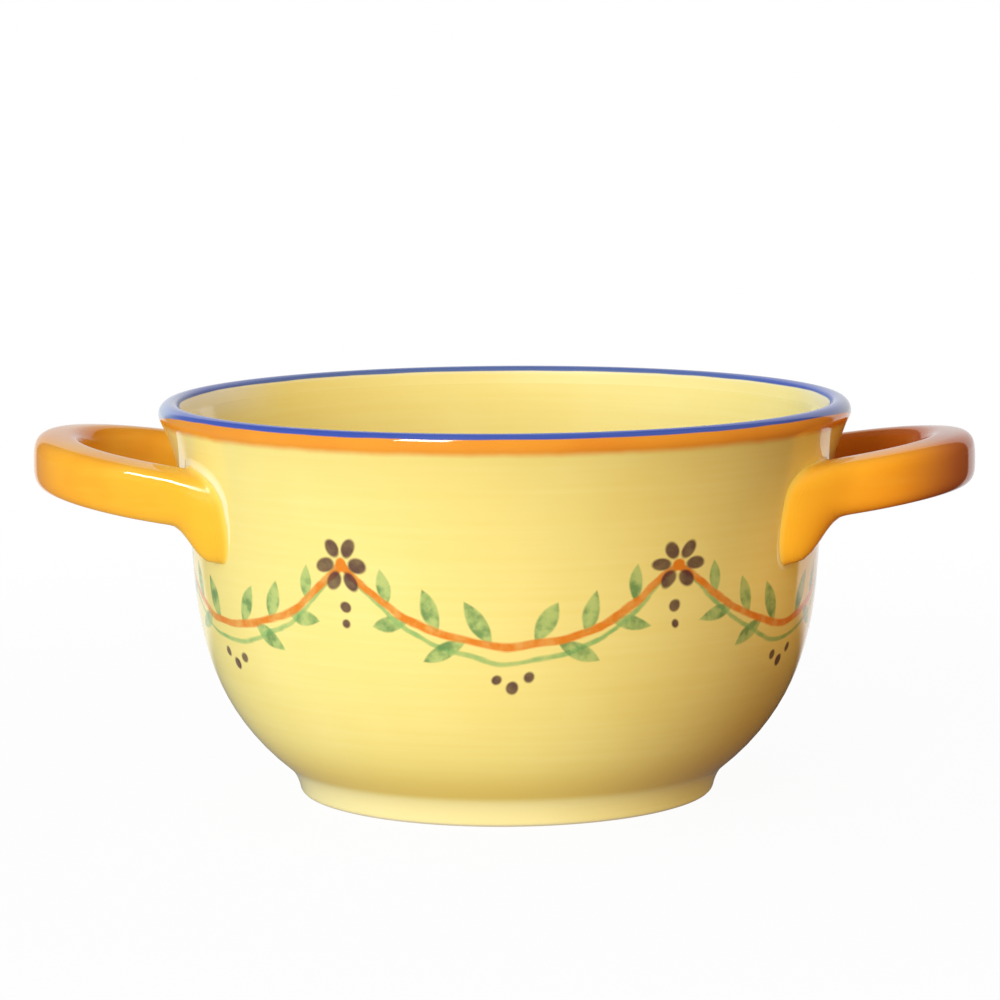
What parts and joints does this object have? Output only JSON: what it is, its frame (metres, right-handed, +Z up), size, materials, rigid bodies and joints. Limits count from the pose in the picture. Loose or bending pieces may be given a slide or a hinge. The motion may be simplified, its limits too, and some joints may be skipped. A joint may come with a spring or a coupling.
{
  "type": "two-handled bowl",
  "caption": "Deep round soup bowl on a low foot ring, with a flared wall, a rounded lip and a loop handle on each side for lifting.",
  "frame": {"origin": "on the table, under the centre of the foot ring", "axes": "+Z up; X runs through both handles, +X towards the right handle; -Y is the front"},
  "size_m": [0.1908, 0.14, 0.08],
  "materials": {
    "yellow_glaze": "glossy glaze with soft brush streaks, painted border, blue lip",
    "orange_glaze": "glossy glaze, thinner and paler on the edges",
    "lute_slip": "fired slip under glaze"
  },
  "bodies": {
    "root": {"bowl": "yellow_glaze", "handle_left": "orange_glaze", "handle_right": "orange_glaze", "slip_joint_left_front": "lute_slip", "slip_joint_left_back": "lute_slip", "slip_joint_right_front": "lute_slip", "slip_joint_right_back": "lute_slip"}
  },
  "joints": []
}
